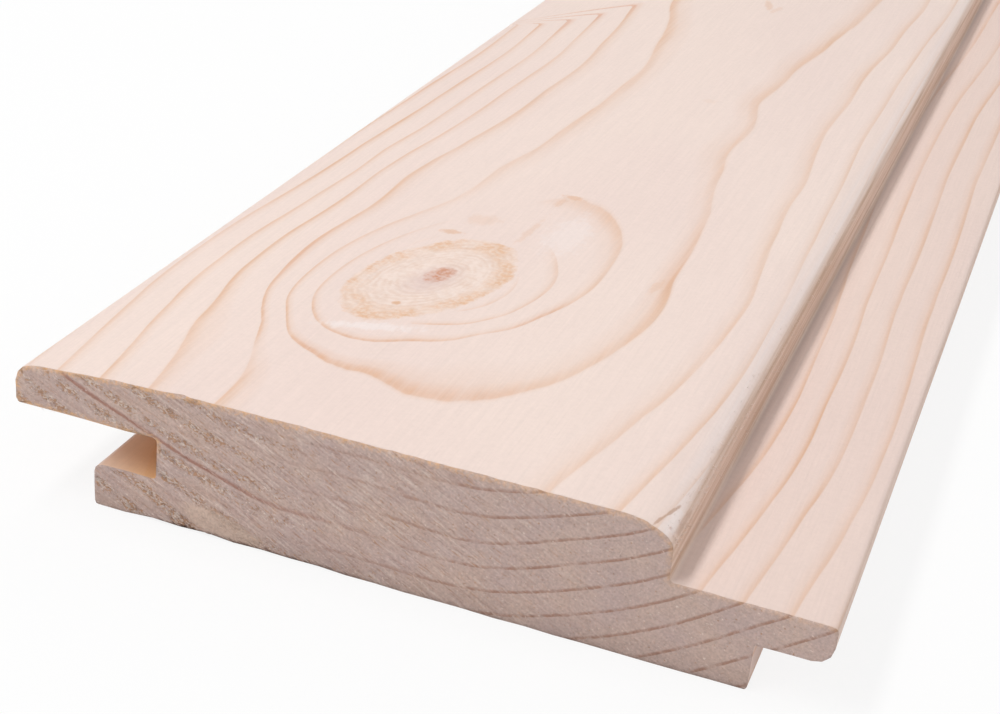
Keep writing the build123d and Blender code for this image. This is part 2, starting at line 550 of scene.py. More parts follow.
def makeFibres(rings):
    # Loose fibres along the nose's lower edge, and torn ones across the sawn end. Each points
    # outwards, plus a random lean along the surface.
    rng = np.random.default_rng(fibres["seed"])
    n = fibres["noseCount"]
    y = np.minimum(0.6 + rng.exponential(fibres["noseSpread"], n), fibres["noseReach"])
    t = rng.uniform(0.85, 1.75, n)
    onWall = t > np.pi / 2
    x = np.where(onWall, noseWall, noseStart + section["noseWidth"] * np.sin(t))
    z = np.where(onWall, noseFoot - rng.uniform(0, 2.6, n),
                 noseFoot + section["noseDrop"] * np.cos(t))
    outward = np.stack([np.sin(t).clip(0.3), 0 * t, np.cos(t).clip(0)], 1)
    lie = np.stack([rng.uniform(-0.2, 0.2, n), rng.choice([-1, 1], n) * rng.uniform(0.3, 1, n),
                    rng.uniform(-0.6, 0.5, n)], 1)
    direction = outward * rng.uniform(0.15, 0.7, n)[:, None] + lie
    base = np.stack([x, y, z], 1) - outward * 0.05
    m = fibres["endCount"]
    ex = -44 + 70 * rng.beta(1.0, 1.7, m * 3)
    ez = rng.uniform(0.4, boardThickness - 0.4, m * 3)
    keep = np.flatnonzero(insideOutline(np.stack([ex, ez], 1), sectionLoop()))[:m]
    ex, ez = ex[keep], ez[keep]
    depth = endDepth(rings, ex, ez, 0.0, endFace["seed"])
    angle = np.radians(-endFace["tearTurn"] + rng.normal(0, 28, len(keep)))
    flip = rng.choice([-1, 1], len(keep))
    endBase = np.stack([ex, depth + 0.03, ez], 1)
    endWay = np.stack([flip * np.cos(angle), np.full(len(keep), -0.25), flip * np.sin(angle)], 1)
    base = np.concatenate([base, endBase])
    direction = np.concatenate([direction, endWay])
    count = len(base)
    shortest, longest = fibres["length"]
    length = shortest + (longest - shortest) * rng.beta(1.2, 2.4, count)
    radius = rng.uniform(*fibres["radius"], count)
    bend = rng.normal(0, 0.12, (count, 3)) * length[:, None]
    points, sides, ends = threadMesh(base, direction, length, radius, bend)
    points[:, 1] = np.maximum(points[:, 1], 0.015)
    points[:, 2] = np.minimum(points[:, 2], boardThickness - 0.02)
    return points, sides, ends


def meshObject(name, vertices, quads, triangles):
    # Puts the arrays into a new mesh, in metres in the board's frame.
    place = vertices * mm + np.array([0, low.y, low.z])
    quads, triangles = np.concatenate(quads), np.concatenate(triangles)
    mesh = bpy.data.meshes.new(name)
    mesh.vertices.add(len(place))
    mesh.vertices.foreach_set("co", place.astype(np.float32).ravel())
    corners = np.concatenate([quads.ravel(), triangles.ravel()]).astype(np.int32)
    mesh.loops.add(len(corners))
    mesh.loops.foreach_set("vertex_index", corners)
    sizes = np.concatenate([np.full(len(quads), 4), np.full(len(triangles), 3)])
    starts = np.concatenate([[0], np.cumsum(sizes)[:-1]]).astype(np.int32)
    mesh.polygons.add(len(sizes))
    mesh.polygons.foreach_set("loop_start", starts)
    mesh.polygons.foreach_set("use_smooth", np.ones(len(sizes), bool))
    mesh.update(calc_edges=True)
    mesh.validate()
    made = bpy.data.objects.new(name, mesh)
    bpy.context.scene.collection.objects.link(made)
    return made


def setFloat(mesh, name, values):
    mesh.attributes.new(name, "FLOAT", "POINT").data.foreach_set("value", values.astype(np.float32))


def setVector(mesh, name, values):
    data = mesh.attributes.new(name, "FLOAT_VECTOR", "POINT").data
    data.foreach_set("vector", values.astype(np.float32).ravel())


def nearestKnot(p):
    # For each point, its offset from the nearest branch in radii, and which branch that is.
    best = np.full(len(p), 1e9)
    out = np.zeros((len(p), 3))
    for number, knot in enumerate(knots):
        across, along = knotOffset(knot, *p.T)
        # the cut through a leaning branch is longer along the board, and leans a little too
        turned = (across - 0.2 * (along - 0.2)) / 0.99
        along = (along - 0.2) / knot.get("long", np.hypot(1, knot["lean"]))
        distance = np.hypot(turned, along)
        nearer = distance < best
        best = np.where(nearer, distance, best)
        out[nearer] = np.stack([turned, along, np.full(len(p), number)], 1)[nearer]
    return out


def placeMasks(p, edge):
    # Three masks: the nose's wall, with about half on the tongue's tip as painted shade; the
    # groove, which grows towards its root as painted shade and warm bounced light; and the arris
    # between side and end, which fades as exp(-distance).
    x, y, z = p.T
    wall = np.clip((x - noseWall + 0.9) / 0.6, 0, 1) * np.clip((noseWall + 0.5 - x) / 0.4, 0, 1)
    wall = wall * (z > shelfTop - 0.1)
    groove = (x > lipEdge + 1) & (x < grooveRoot + 0.1) & (z > grooveFloor - 0.1)
    groove = groove & (z < grooveRoof + 0.1)
    deep = np.clip((x - backingEdge) / section["grooveDepth"], 0, 1)
    # painted shade: the tongue's tip side gets about half of the wall's tone, standing in for shade
    # where no light bounces up from the floor
    tip = 0.55 * (x > tongueTip - 0.3) * (z < shelfTop - 0.3)
    return np.stack([np.maximum(wall, tip), groove * (0.3 + 0.7 * deep), np.exp(-edge / 0.5)], 1)


def tone(red, green, blue):
    # A colour given as it looks on screen, 0 to 255, as the linear values that a shader takes.
    c = np.array([red, green, blue]) / 255
    c = np.where(c <= 0.04045, c / 12.92, ((c + 0.055) / 1.055) ** 2.4)
    return (float(c[0]), float(c[1]), float(c[2]), 1.0)


rings = makeRings()
vertices, quads, caps, edge, torn = makeBoard(rings)
vertices = splitNose(vertices)
threads, threadQuads, threadEnds = makeFibres(rings)
count = len(vertices)
board = meshObject("panellingBoard", np.concatenate([vertices, threads]),
                   [quads, threadQuads + count], [threadEnds + count, caps])


def withThreads(values, plain):
    # The board's values, and one plain value for every point of the loose fibres.
    return np.concatenate([values, np.full((len(threads),) + values.shape[1:], plain)])


setFloat(board.data, "ring", withThreads(rings(vertices), 0.3))
setVector(board.data, "knotPlace", withThreads(nearestKnot(vertices), 9.0))
setFloat(board.data, "lineStrength", withThreads(lineStrength(vertices), 0.0))
setVector(board.data, "places", withThreads(placeMasks(vertices, edge), 0.0))
setFloat(board.data, "torn", withThreads(torn, 0.0))
sideCount = len(quads) + len(threadQuads) + len(threadEnds)
total = 2 * (len(quads) + len(threadQuads)) + len(threadEnds) + len(caps)
print("board", len(vertices) + len(threads), "vertices", total, "triangles")


def nodeTools(tree):
    # Short ways to add a node and to join it to others.
    def node(kind, **values):
        made = tree.nodes.new(kind)
        for key, value in values.items():
            if key.startswith("in_"):
                made.inputs[int(key[3:])].default_value = value
            else:
                setattr(made, key, value)
        return made

    def link(a, b):
        tree.links.new(a, b)

    def maths(operation, first, second=None, third=None, clamp=False):
        made = tree.nodes.new("ShaderNodeMath")
        made.operation = operation
        made.use_clamp = clamp
        for slot, value in enumerate((first, second, third)):
            if value is None:
                continue
            if isinstance(value, (int, float)):
                made.inputs[slot].default_value = value
            else:
                tree.links.new(value, made.inputs[slot])
        return made.outputs[0]

    def mixColour(share, first, second, blend="MIX"):
        made = tree.nodes.new("ShaderNodeMix")
        made.data_type = "RGBA"
        made.blend_type = blend
        for slot, value in ((0, share), (6, first), (7, second)):
            if isinstance(value, (int, float, tuple)):
                made.inputs[slot].default_value = value
            else:
                tree.links.new(value, made.inputs[slot])
        return made.outputs[2]

    def lay(under, mask, colour, amount):
        return mixColour(maths("MULTIPLY", mask, amount), under, colour)

    def ramp(value, stops, smooth=False):
        made = tree.nodes.new("ShaderNodeValToRGB")
        made.color_ramp.interpolation = "EASE" if smooth else "LINEAR"
        elements = made.color_ramp.elements
        while len(elements) < len(stops):
            elements.new(0.5)
        for element, (place, level) in zip(elements, stops):
            element.position = place
            element.color = (level, level, level, 1) if isinstance(level, (int, float)) else level
        tree.links.new(value, made.inputs[0])
        return made.outputs[0]

    def noise(vector, scale, detail=2.0, roughness=0.5, stretch=None):
        if stretch:
            mapping = tree.nodes.new("ShaderNodeMapping")
            mapping.inputs["Scale"].default_value = stretch
            tree.links.new(vector, mapping.inputs["Vector"])
            vector = mapping.outputs["Vector"]
        made = tree.nodes.new("ShaderNodeTexNoise")
        made.inputs["Scale"].default_value = scale
        made.inputs["Detail"].default_value = detail
        made.inputs["Roughness"].default_value = roughness
        tree.links.new(vector, made.inputs["Vector"])
        return made.outputs["Fac"]

    def split(vector):
        made = tree.nodes.new("ShaderNodeSeparateXYZ")
        tree.links.new(vector, made.inputs[0])
        return made.outputs

    def attribute(name, kind="Fac"):
        made = tree.nodes.new("ShaderNodeAttribute")
        made.attribute_name = name
        return made.outputs[kind]

    return node, link, maths, mixColour, lay, ramp, noise, split, attribute


def newGroup(name, inputs, outputs):
    made = bpy.data.node_groups.new(name, "ShaderNodeTree")
    for label, kind, value in inputs:
        socket = made.interface.new_socket(name=label, in_out="INPUT", socket_type=kind)
        if value is not None:
            socket.default_value = value
    for label, kind in outputs:
        made.interface.new_socket(name=label, in_out="OUTPUT", socket_type=kind)
    return made, made.nodes.new("NodeGroupInput"), made.nodes.new("NodeGroupOutput")


def makeGrowthRings():
    # Dark wood at the end of each year: it comes up slowly and stops at once.
    group, entry, leave = newGroup(
        "growthRings",
        [("Ring", "NodeSocketFloat", 0.0), ("Coordinates", "NodeSocketVector", None),
         ("Waviness", "NodeSocketFloat", 0.05), ("Strength", "NodeSocketFloat", 1.0)],
        [("Late Wood", "NodeSocketFloat"), ("Ring Share", "NodeSocketFloat")],
    )
    node, link, maths, mixColour, lay, ramp, noise, split, attribute = nodeTools(group)
    place = entry.outputs["Coordinates"]
    wave = maths("SUBTRACT", noise(place, 1.0, 2.0, 0.6, (420, 60, 420)), 0.5)
    wave = maths("MULTIPLY", wave, entry.outputs["Waviness"])
    ring = maths("ADD", entry.outputs["Ring"], wave)
    share = maths("FRACT", ring)
    late = ramp(share, [(0.0, 0.3), (0.03, 0.0), (0.64, 0.0), (0.84, 0.3), (0.93, 0.85),
                        (0.96, 1.0), (0.985, 1.0), (1.0, 0.4)])
    strength = maths("MULTIPLY_ADD", noise(place, 1.0, 2.0, 0.5, (90, 18, 90)), 1.3, 0.1)
    strength = maths("MULTIPLY", strength, entry.outputs["Strength"])
    link(maths("MULTIPLY", late, strength, clamp=True), leave.inputs["Late Wood"])
    link(share, leave.inputs["Ring Share"])
    return group


def makeKnotWood():
    # A cut branch: close rings round its middle, a brown heart and a torn golden rim.
    group, entry, leave = newGroup(
        "knotWood",
        [("Knot Place", "NodeSocketVector", None), ("Coordinates", "NodeSocketVector", None)],
        [("Inside", "NodeSocketFloat"), ("Rim", "NodeSocketFloat"), ("Rings", "NodeSocketFloat"),
         ("Heart", "NodeSocketFloat"), ("Speckle", "NodeSocketFloat"), ("Halo", "NodeSocketFloat")],
    )
    node, link, maths, mixColour, lay, ramp, noise, split, attribute = nodeTools(group)
    place = entry.outputs["Coordinates"]
    u, v, _ = split(entry.outputs["Knot Place"])
    distance = maths("SQRT", maths("ADD", maths("MULTIPLY", u, u), maths("MULTIPLY", v, v)))
    rough = maths("SUBTRACT", noise(place, 900, 3.0, 0.65), 0.5)
    soft = maths("SUBTRACT", noise(place, 170, 2.0, 0.5), 0.5)
    bent = maths("MULTIPLY_ADD", soft, 0.16, distance)
    frayed = maths("MULTIPLY_ADD", rough, 0.16, bent)
    link(ramp(frayed, [(0.0, 1.0), (0.93, 1.0), (1.0, 0.0)]), leave.inputs["Inside"])
    rim = ramp(frayed, [(0.66, 0.0), (0.8, 0.75), (0.94, 1.0), (1.02, 0.0)])
    grains = ramp(noise(place, 1500, 2.0, 0.6), [(0.38, 0.35), (0.6, 1.0)])
    patches = ramp(noise(place, 260, 2.0, 0.5), [(0.38, 0.2), (0.58, 1.0)])
    link(maths("MULTIPLY", maths("MULTIPLY", rim, grains), patches), leave.inputs["Rim"])
    wave = maths("SINE", maths("MULTIPLY_ADD", rough, 5.0, maths("MULTIPLY", bent, 84.0)))
    faint = ramp(noise(place, 420, 2.0, 0.5), [(0.4, 0.05), (0.64, 1.0)])
    link(maths("MULTIPLY", maths("MULTIPLY_ADD", wave, 0.5, 0.5), faint), leave.inputs["Rings"])
    # the branch's own middle lies off the middle of the cut
    du, dv = maths("SUBTRACT", u, 0.04), maths("SUBTRACT", v, 0.09)
    heart = maths("SQRT", maths("ADD", maths("MULTIPLY", du, du), maths("MULTIPLY", dv, dv)))
    heart = maths("MULTIPLY_ADD", rough, 0.2, heart)
    mottle = ramp(noise(place, 1300, 2.0, 0.6), [(0.38, 0.3), (0.6, 1.0)])
    middle = ramp(heart, [(0.03, 1.0), (0.12, 0.8), (0.21, 0.0)])
    link(maths("MULTIPLY", middle, mottle), leave.inputs["Heart"])
    low = maths("MULTIPLY_ADD", rough, 0.3, maths("SQRT", maths("ADD", maths("MULTIPLY", du, du),
                maths("POWER", maths("ADD", dv, 0.14), 2.0))))
    link(ramp(low, [(0.1, 1.0), (0.42, 0.0)]), leave.inputs["Halo"])
    link(ramp(noise(place, 1100, 2.0, 0.6), [(0.4, 0.0), (0.7, 1.0)]), leave.inputs["Speckle"])
    return group


def makeFibre():
    # Fine fibres that run along the board, and broad soft streaks.
    group, entry, leave = newGroup(
        "fibre",
        [("Coordinates", "NodeSocketVector", None)],
        [("Fine", "NodeSocketFloat"), ("Streak", "NodeSocketFloat"), ("Cloud", "NodeSocketFloat")],
    )
    node, link, maths, mixColour, lay, ramp, noise, split, attribute = nodeTools(group)
    place = entry.outputs["Coordinates"]
    link(noise(place, 1.0, 3.0, 0.6, (3600, 110, 3600)), leave.inputs["Fine"])
    link(noise(place, 1.0, 2.0, 0.5, (420, 14, 420)), leave.inputs["Streak"])
    link(noise(place, 1.0, 2.0, 0.5, (45, 16, 45)), leave.inputs["Cloud"])
    return group


def makeSpot():
    # A soft ragged oval on the face, at a place and with half-sizes in metres.
    group, entry, leave = newGroup(
        "spot",
        [("Coordinates", "NodeSocketVector", None), ("Place X", "NodeSocketFloat", 0.0),
         ("Place Y", "NodeSocketFloat", 0.0), ("Half Width", "NodeSocketFloat", 0.001),
         ("Half Length", "NodeSocketFloat", 0.001), ("Slant", "NodeSocketFloat", 0.0),
         ("Ragged", "NodeSocketFloat", 0.5)],
        [("Mask", "NodeSocketFloat")],
    )
    node, link, maths, mixColour, lay, ramp, noise, split, attribute = nodeTools(group)
    x, y, z = split(entry.outputs["Coordinates"])
    along = maths("SUBTRACT", y, entry.outputs["Place Y"])
    across = maths("SUBTRACT", x, entry.outputs["Place X"])
    across = maths("SUBTRACT", across, maths("MULTIPLY", along, entry.outputs["Slant"]))
    u = maths("DIVIDE", across, entry.outputs["Half Width"])
    v = maths("DIVIDE", along, entry.outputs["Half Length"])
    reach = maths("SQRT", maths("ADD", maths("MULTIPLY", u, u), maths("MULTIPLY", v, v)))
    reach = maths("ADD", reach, maths("MULTIPLY_ADD", entry.outputs["Ragged"], 1.6, -0.8))
    above = maths("GREATER_THAN", z, 0.004)
    mask = ramp(reach, [(0.35, 1.0), (1.0, 0.0)], True)
    link(maths("MULTIPLY", mask, above), leave.inputs["Mask"])
    return group


spot = makeSpot()
growthRings = makeGrowthRings()
knotWood = makeKnotWood()
fibre = makeFibre()

# Marks on the face: x, y, half-width, half-length, slant and strength.
stains = [
    (-16.9, 55.6, 2.0, 1.0, 0.6, 0.6),
    (-14.9, 61.4, 2.8, 2.6, 0.3, 0.22),
    (-8.3, 61.5, 0.7, 6.0, 0.05, 0.28),
    (-7.0, 75.4, 2.1, 1.0, -0.3, 0.6),
    (-8.0, 72.8, 0.7, 2.6, 0.1, 0.35),
    (-5.9, 189.5, 1.0, 4.6, -0.25, 0.4),
    (-3.9, 187.0, 0.8, 3.4, 0.2, 0.25),
    (-14.7, 32.3, 0.6, 0.7, 0.0, 0.9),
    (11.0, 53.0, 0.8, 3.0, 0.1, 0.3),
    (-1.2, 127.0, 1.4, 1.4, 0.0, 0.12),
]
paleSpots = [
    (-14.6, 25.2, 3.4, 3.0, 1.9, 0.75),
    (-3.6, 62.5, 3.6, 9.0, 0.0, 0.45),
    (-20.4, 40.0, 1.0, 9.0, 0.1, 0.3),
    (27.3, 2.9, 0.7, 3.8, 0.07, 0.6),
]
cracks = [(26.45, 3.2, 0.2, 4.6, 0.235, 0.6), (27.9, 4.4, 0.3, 3.6, 0.02, 0.35)]

planedLook = {
    "early": tone(244, 224, 214),
    "earlyPink": tone(242, 221, 212),
    "late": tone(229, 184, 150),
    "knot": tone(246, 226, 215),
    "knotRing": tone(229, 199, 180),
    "knotRim": tone(232, 187, 150),
    "knotHeart": tone(210, 146, 114),
    "knotHalo": tone(226, 201, 194),
    "arris": tone(230, 190, 152),
    "lateDeep": tone(225, 172, 140),
    "pale": tone(247, 234, 230),
    "sheen": tone(243, 230, 227),
    # painted shadow: the dark tone laid in the corner at the foot of the nose
    "dustAndShadow": tone(150, 132, 126),
    "shelf": tone(244, 239, 237),
    "crack": tone(184, 136, 104),
    "wall": tone(234, 208, 193),
    "wallDark": tone(208, 174, 150),
    # painted shade: the groove's warm brown, laid deeper towards its root, stands in for shade and
    # warm bounced light inside the groove
    "groove": tone(224, 178, 130),
    "roughness": 0.6,
}


def startMaterial(name):
    # What both finishes share: the coordinates, the growth rings, the knots and the fibres.
    material = bpy.data.materials.new(name)
    material.use_nodes = True
    tools = nodeTools(material.node_tree)
    node, link, maths, mixColour, lay, ramp, noise, split, attribute = tools
    place = node("ShaderNodeTexCoord").outputs["Object"]
    years = node("ShaderNodeGroup", node_tree=growthRings)
    link(attribute("ring"), years.inputs["Ring"])
    link(attribute("lineStrength"), years.inputs["Strength"])
    branch = node("ShaderNodeGroup", node_tree=knotWood)
    link(attribute("knotPlace", "Vector"), branch.inputs["Knot Place"])
    threads = node("ShaderNodeGroup", node_tree=fibre)
    for made in (years, branch, threads):
        link(place, made.inputs["Coordinates"])
    shader = material.node_tree.nodes["Principled BSDF"]
    return material, tools, shader, place, years, branch, threads


def makePlaned():
    material, tools, shader, place, years, branch, threads = startMaterial("planedSpruce")
    node, link, maths, mixColour, lay, ramp, noise, split, attribute = tools
    look = planedLook
    fine, streak, cloud = (threads.outputs[k] for k in range(3))
    early = mixColour(ramp(cloud, [(0.35, 0.0), (0.65, 1.0)]), look["early"], look["earlyPink"])
    late = maths("MULTIPLY", years.outputs["Late Wood"], ramp(streak, [(0.3, 0.7), (0.7, 1.0)]))
    deep = maths("SUBTRACT", attribute("lineStrength"), 1.0, clamp=True)
    deep = maths("MULTIPLY", deep, 1.3, clamp=True)
    lateColour = mixColour(deep, look["late"], look["lateDeep"])
    streaks = ramp(noise(place, 1.0, 2.0, 0.6, (1700, 40, 1700)), [(0.36, 0.75), (0.6, 1.0)])
    wood = lay(early, maths("MULTIPLY", late, streaks), lateColour, 0.95)
    knotRings = maths("MULTIPLY", branch.outputs["Rings"], 0.5)
    disc = mixColour(knotRings, look["knot"], look["knotRing"])
    disc = lay(disc, branch.outputs["Speckle"], look["knotRing"], 0.45)
    disc = lay(disc, branch.outputs["Halo"], look["knotHalo"], 0.75)
    disc = mixColour(branch.outputs["Heart"], disc, look["knotHeart"])
    wood = mixColour(branch.outputs["Inside"], wood, disc)
    wood = lay(wood, branch.outputs["Rim"], look["knotRim"], 0.95)
    onWall, inGroove, onArris = split(attribute("places", "Vector"))
    atX, atY, atZ = split(place)
    # painted highlight: the turn of the nose is painted paler in streaks, standing in for the sheen
    # of a light behind the board on the rounded edge
    turn = maths("SUBTRACT", atX, noseStart * mm)
    turn = maths("DIVIDE", turn, section["noseWidth"] * mm)
    turn = maths("MULTIPLY", ramp(turn, [(0.5, 0.0), (0.76, 1.0), (0.9, 1.0), (0.98, 0.0)]),
                 maths("GREATER_THAN", atZ, (shelfTop + 1) * mm))
    sheenStreaks = ramp(noise(place, 1.0, 2.0, 0.5, (1500, 18, 900)), [(0.3, 0.35), (0.6, 1.0)])
    wood = lay(wood, maths("MULTIPLY", turn, sheenStreaks), look["sheen"], 0.5)
    # painted shadow: a dark tone in the corner at the foot of the nose stands in for the shadow the
    # nose casts on the shelf, least near the near end
    foot = ramp(maths("MULTIPLY", maths("SUBTRACT", atX, noseWall * mm), 500.0),
                [(0.0, 1.0), (0.2, 0.85), (0.65, 0.0)])
    fromNear = maths("MULTIPLY_ADD", atY, 20.0, 10 * boardLength * mm)
    foot = maths("MULTIPLY", foot, ramp(fromNear, [(0.1, 0.25), (0.6, 1.0)]))
    onShelf = maths("MULTIPLY", maths("GREATER_THAN", atX, (noseWall - 0.2) * mm),
                    maths("LESS_THAN", atZ, (shelfTop + 0.7) * mm))
    foot = maths("MULTIPLY", foot, onShelf)
    foot = maths("MULTIPLY", foot, ramp(streak, [(0.3, 0.5), (0.6, 1.0)]))
    wood = lay(wood, foot, look["dustAndShadow"], 0.6)
    wood = mixColour(maths("MULTIPLY", onShelf, 0.5), wood, look["shelf"], "MULTIPLY")
    bands = ramp(noise(place, 1.0, 3.0, 0.6, (900, 26, 2200)), [(0.38, 0.0), (0.62, 1.0)])
    wallWood = mixColour(bands, look["wall"], look["wallDark"])
    # the nose wall's own tan, and on the tongue's tip side painted shade in the same tone
    wood = lay(wood, onWall, wallWood, 0.95)
    # painted shade and warm bounced light inside the groove, deepest at its root
    wood = mixColour(inGroove, wood, look["groove"])
    fuzz = maths("ADD", onArris, maths("SUBTRACT", noise(place, 2400, 2.0, 0.6), 0.5))
    fuzz = ramp(fuzz, [(0.62, 0.0), (0.95, 0.6)])
    wood = mixColour(fuzz, wood, look["arris"])
    # small marks: tan stains above the knot, pale places where the fibres lie flat, and the
    # split beside the nose
    ragged = noise(place, 1.0, 3.0, 0.7, (1100, 600, 1100))
    for colour, spots in (("late", stains), ("pale", paleSpots), ("crack", cracks)):
        for x, y, wide, long, slant, amount in spots:
            mark = node("ShaderNodeGroup", node_tree=spot)
            link(place, mark.inputs["Coordinates"])
            link(ragged, mark.inputs["Ragged"])
            values = (x * mm, (y - boardLength / 2) * mm, wide * mm, long * mm, slant)
            for k, value in enumerate(values):
                mark.inputs[k + 1].default_value = value
            wood = lay(wood, mark.outputs["Mask"], look[colour], amount)
    shade = maths("MULTIPLY_ADD", fine, 0.12, 0.94)
    # fine specks of dust that vary the face's tone a little at random
    dustAndShadow = maths("MULTIPLY_ADD", noise(place, 1900, 2.0, 0.6), 0.09, 0.955)
    wood = mixColour(1.0, wood, maths("MULTIPLY", shade, dustAndShadow), "MULTIPLY")
    link(wood, shader.inputs["Base Color"])
    # the planer's knife marks, 1.3 mm apart, come and go
    knife = maths("SINE", maths("MULTIPLY", atY, 4830.0))
    knife = maths("MULTIPLY", knife, ramp(cloud, [(0.42, 0.0), (0.6, 1.0)]))
    link(maths("MULTIPLY_ADD", fine, 0.12, look["roughness"] - 0.06), shader.inputs["Roughness"])
    height = maths("MULTIPLY_ADD", years.outputs["Late Wood"], 0.35, fine)
    height = maths("MULTIPLY_ADD", knife, 0.12, height)
    holes = maths("MULTIPLY", branch.outputs["Speckle"], -0.7)
    height = maths("MULTIPLY_ADD", branch.outputs["Rim"], holes, height)
    bump = node("ShaderNodeBump")
    bump.inputs["Strength"].default_value = 0.35
    bump.inputs["Distance"].default_value = 0.00012
    link(height, bump.inputs["Height"])
    link(bump.outputs[0], shader.inputs["Normal"])
    shader.inputs["Specular IOR Level"].default_value = 0.3
    return material


sawnLook = {
    "wood": tone(221, 194, 182),
    "grey": tone(214, 189, 182),
    "dark": tone(188, 154, 142),
    "ring": tone(172, 126, 104),
    "deepRing": tone(176, 124, 108),
    "pit": tone(200, 146, 100),
    "fluff": tone(248, 230, 219),
    # partly painted highlight: the frayed rim's golden tone, lighter than the end as if its fibres
    # caught the light from above
    "rim": tone(244, 196, 152),
    "smooth": tone(232, 205, 188),
    "tear": tone(120, 92, 78),
    "roughness": 0.85,
}


def makeSawn():
    material, tools, shader, place, years, branch, threads = startMaterial("sawnSpruce")
    node, link, maths, mixColour, lay, ramp, noise, split, attribute = tools
    look = sawnLook
    torn = attribute("torn")
    _, _, onArris = split(attribute("places", "Vector"))
    atX, _, atZ = split(place)
    across = maths("MULTIPLY_ADD", atX, 10.0, 0.5)  # 0 to 1 over 100 mm
    # the strokes slant down to the right, and are plainest left of the middle
    turn = node("ShaderNodeMapping")
    turn.inputs["Rotation"].default_value = (0, float(np.radians(-endFace["tearTurn"])), 0)
    link(place, turn.inputs["Vector"])
    slanted = turn.outputs["Vector"]
    strokes = noise(slanted, 1.0, 3.0, 0.6, (280, 280, 3400))
    dashes = noise(slanted, 1.0, 2.0, 0.5, (560, 560, 4200))
    grain = noise(place, 3600, 2.0, 0.6)
    patches = noise(place, 200, 2.0, 0.5)
    middle = ramp(across, [(0.1, 0.5), (0.3, 1.0), (0.55, 0.9), (0.75, 0.2)])
    wood = mixColour(ramp(patches, [(0.35, 0.0), (0.65, 1.0)]), look["wood"], look["grey"])
    broken = ramp(noise(place, 520, 2.0, 0.6), [(0.36, 0.25), (0.55, 1.0)])
    line = ramp(years.outputs["Ring Share"], [(0.0, 0.4), (0.02, 0.0), (0.84, 0.0), (0.92, 0.9),
                                              (0.985, 1.0), (1.0, 0.5)])
    right = ramp(across, [(0.38, 0.25), (0.62, 0.95)])
    line = maths("MULTIPLY", maths("MULTIPLY", line, broken), right)
    wood = lay(wood, line, look["ring"], 0.8)
    # the fifth ring is darker on the grooved side
    deep = ramp(maths("DIVIDE", attribute("ring"), 10.0),
                [(0.478, 0.0), (0.489, 0.9), (0.498, 1.0), (0.502, 0.0)])
    deep = maths("MULTIPLY", deep, ramp(across, [(0.3, 1.0), (0.46, 0.0)]))
    wood = lay(wood, deep, look["deepRing"], 0.85)
    bright = maths("MULTIPLY", ramp(strokes, [(0.54, 0.0), (0.68, 1.0)]), middle)
    wood = lay(wood, bright, look["fluff"], 0.6)
    drawn = maths("MULTIPLY", ramp(strokes, [(0.34, 1.0), (0.48, 0.0)]), middle)
    wood = lay(wood, drawn, look["dark"], 0.6)
    dark = maths("MULTIPLY", ramp(dashes, [(0.6, 0.0), (0.7, 1.0)]), middle)
    wood = lay(wood, dark, look["pit"], 0.5)
    # pits: the torn places, with a frayed outline
    specks = noise(slanted, 1.0, 1.5, 0.6, (2600, 2600, 4600))
    frayed = maths("MULTIPLY_ADD", torn, 0.3, specks)
    pits = ramp(frayed, [(0.68, 0.0), (0.78, 1.0)])
    wood = lay(wood, pits, look["pit"], 0.6)
    fluffs = noise(slanted, 1.0, 1.5, 0.6, (2200, 2200, 5200))
    fluffs = maths("MULTIPLY_ADD", torn, 0.18, fluffs)
    fluffs = ramp(fluffs, [(0.66, 0.0), (0.78, 0.8)])
    wood = mixColour(fluffs, wood, look["fluff"])
    # the golden frayed rim above, and at the lip's outer edge: the fuzz's own golden colour,
    # painted lighter as a highlight where its fibres catch the light from above
    upper = ramp(maths("MULTIPLY", atZ, 50.0), [(0.35, 0.0), (0.5, 1.0)])
    upper = maths("MAXIMUM", upper, ramp(across, [(0.05, 1.0), (0.1, 0.0)]))
    rim = maths("ADD", onArris, maths("SUBTRACT", noise(place, 2300, 2.0, 0.6), 0.5))
    rim = maths("MULTIPLY", ramp(rim, [(0.3, 0.0), (0.72, 1.0)]), upper)
    leftward = ramp(across, [(0.35, 1.0), (0.85, 0.4)])
    rimSpots = ramp(noise(place, 1700, 2.0, 0.6), [(0.36, 0.35), (0.56, 1.0)])
    rim = maths("MULTIPLY", maths("MULTIPLY", rim, leftward), rimSpots)
    wood = mixColour(rim, wood, look["rim"])
    # a smooth patch low on the grooved side, and torn wood along the arris below it
    u = maths("DIVIDE", maths("ADD", atX, 0.0200), 0.0052)
    v = maths("DIVIDE", maths("ADD", maths("SUBTRACT", atZ, 0.0017),
                              maths("MULTIPLY", maths("ADD", atX, 0.02), 0.2)), 0.0015)
    reach = maths("SQRT", maths("ADD", maths("MULTIPLY", u, u), maths("MULTIPLY", v, v)))
    reach = maths("ADD", reach, maths("MULTIPLY_ADD", patches, 1.2, -0.6))
    wood = mixColour(ramp(reach, [(0.6, 0.8), (1.1, 0.0)]), wood, look["smooth"])
    foot = maths("ADD", maths("MULTIPLY", atZ, 1600.0),
                 maths("MULTIPLY_ADD", dashes, 3.0, -1.5))
    foot = maths("MULTIPLY", ramp(foot, [(0.15, 1.0), (0.75, 0.0)]),
                 ramp(across, [(0.19, 0.0), (0.24, 1.0), (0.42, 0.9), (0.5, 0.2)]))
    wood = lay(wood, foot, look["tear"], 0.8)
